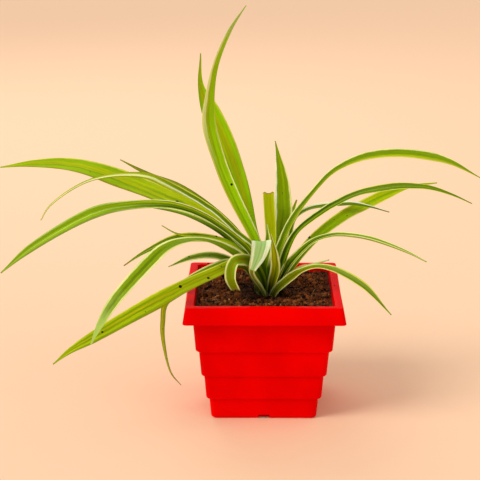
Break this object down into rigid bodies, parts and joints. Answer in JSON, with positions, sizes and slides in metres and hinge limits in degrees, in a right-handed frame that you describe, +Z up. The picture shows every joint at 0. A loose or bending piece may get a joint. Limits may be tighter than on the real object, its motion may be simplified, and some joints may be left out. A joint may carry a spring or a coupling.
{
  "type": "potted spider plant",
  "caption": "Young spider plant with arching striped strap leaves, growing from a short crown in soil in a square stepped plastic nursery pot.",
  "frame": {"origin": "centre of the pot's flat underside, on the surface that the pot stands on", "axes": "+Z up out of the pot; the pot's front face, with the creased leaf over it, looks along -Y; +X to the right seen from the front, which is the way the leaves spread widest"},
  "size_m": [0.4064, 0.1853, 0.3293],
  "materials": {
    "pot_plastic": "satin",
    "potting_soil": "matte",
    "crown_tissue": "satin",
    "leaf_green": "satin",
    "leaf_olive": "satin"
  },
  "bodies": {
    "root": {"pot": "pot_plastic", "soil": "potting_soil", "crown": "crown_tissue", "leaf_low_right": "leaf_green", "leaf_creased_front": "leaf_green", "leaf_inner_right": "leaf_green", "leaf_inner_left": "leaf_green", "leaf_curled_stub": "leaf_green", "leaf_low_left_broad": "leaf_green", "leaf_low_left_long": "leaf_green", "leaf_mid_left_sliver": "leaf_green", "leaf_hanging_left": "leaf_olive", "leaf_thin_left": "leaf_green", "leaf_mid_left_dark": "leaf_green", "leaf_small_left": "leaf_green", "leaf_arch_left_dark": "leaf_green", "leaf_arch_left_long": "leaf_green", "leaf_arch_left_thin": "leaf_green", "leaf_arch_left_broad": "leaf_green", "leaf_arch_left_hidden": "leaf_green", "leaf_tall_left": "leaf_green", "leaf_tall_back": "leaf_green", "leaf_upright_cut": "leaf_olive", "leaf_upright_point": "leaf_green", "leaf_arch_right_low": "leaf_green", "leaf_arch_right_mid": "leaf_green", "leaf_arch_right_high": "leaf_green", "leaf_broad_right": "leaf_green", "leaf_small_right": "leaf_green", "leaf_thin_right": "leaf_green", "leaf_small_back": "leaf_green"}
  },
  "joints": []
}
